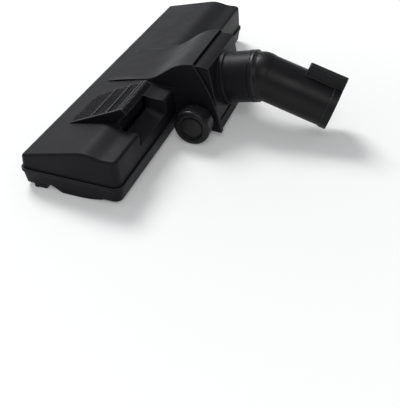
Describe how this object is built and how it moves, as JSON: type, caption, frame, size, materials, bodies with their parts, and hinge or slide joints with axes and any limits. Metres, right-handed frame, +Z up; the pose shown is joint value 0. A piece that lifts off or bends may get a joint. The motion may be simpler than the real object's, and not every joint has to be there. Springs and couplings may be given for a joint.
{
  "type": "vacuum floor head",
  "caption": "Wide vacuum floor head with a foot pedal that lowers its brush rows, a tilting neck, a swivelling elbow with a pipe socket, rear wheels and velour lint strips.",
  "frame": {"origin": "on the floor below the middle of the overall box", "axes": "+X along the head's width to the pedal side, +Y to the rear where the pipe leaves, +Z up"},
  "size_m": [0.28, 0.2025, 0.0598],
  "materials": {
    "shell_plastic": "satin black, fine moulded grain",
    "pedal_plastic": "satin black with hatched grip bands",
    "ring_plastic": "smooth black",
    "carriage_plastic": "dark grey",
    "tyre_rubber": "matt black",
    "wheel_plastic": "satin black",
    "steel": "bright zinc",
    "red_velour": "ribbed pile",
    "nylon_bristle": "fine black bristles",
    "seal_felt": "felt"
  },
  "bodies": {
    "housing": {"upper_cover": "shell_plastic", "base_housing": "shell_plastic", "hood_seal": "seal_felt", "lint_strip_front": "red_velour", "lint_strip_rear": "red_velour", "outer_screws": "steel", "inner_screws": "steel", "pedal_pin": "steel", "left_axle": "steel", "right_axle": "steel", "lift_spring_left": "steel", "lift_spring_right": "steel"},
    "pedal": {"pedal": "pedal_plastic"},
    "brush": {"brush_carriage": "carriage_plastic", "front_bristles": "nylon_bristle", "rear_bristles": "nylon_bristle"},
    "neck": {"neck_block": "shell_plastic", "swivel_ring": "ring_plastic"},
    "elbow": {"elbow_tube": "shell_plastic"},
    "left_wheel": {"left_tyre": "tyre_rubber", "left_hub": "wheel_plastic", "left_cap": "wheel_plastic"},
    "right_wheel": {"right_tyre": "tyre_rubber", "right_hub": "wheel_plastic", "right_cap": "wheel_plastic"}
  },
  "joints": [
    {"name": "pedal_press", "type": "hinge", "parent": "housing", "child": "pedal", "pos_m": [0.074, -0.0766, 0.0259], "axis": [-1, 0, 0], "range_deg": [0, 16]},
    {"name": "brush_drop", "type": "slide", "parent": "housing", "child": "brush", "axis": [0, 0, -1], "range_m": [0, 0.0084], "deforming": ["lift_spring_left", "lift_spring_right"]},
    {"name": "neck_tilt", "type": "hinge", "parent": "housing", "child": "neck", "pos_m": [0, -0.0051, 0.0319], "axis": [1, 0, 0], "range_deg": [0, 26]},
    {"name": "elbow_swivel", "type": "hinge", "parent": "neck", "child": "elbow", "pos_m": [0, 0.03597, 0.04071], "axis": [0, 0.9736, 0.2284], "continuous": true},
    {"name": "left_wheel_spin", "type": "hinge", "parent": "housing", "child": "left_wheel", "pos_m": [0.0452, -0.0048, 0.0144], "axis": [1, 0, 0], "continuous": true},
    {"name": "right_wheel_spin", "type": "hinge", "parent": "housing", "child": "right_wheel", "pos_m": [-0.0452, -0.0048, 0.0144], "axis": [1, 0, 0], "continuous": true}
  ],
  "couplings": [
    {"joint": "brush_drop", "follows": "pedal_press", "m_per_rad": 0.03}
  ]
}
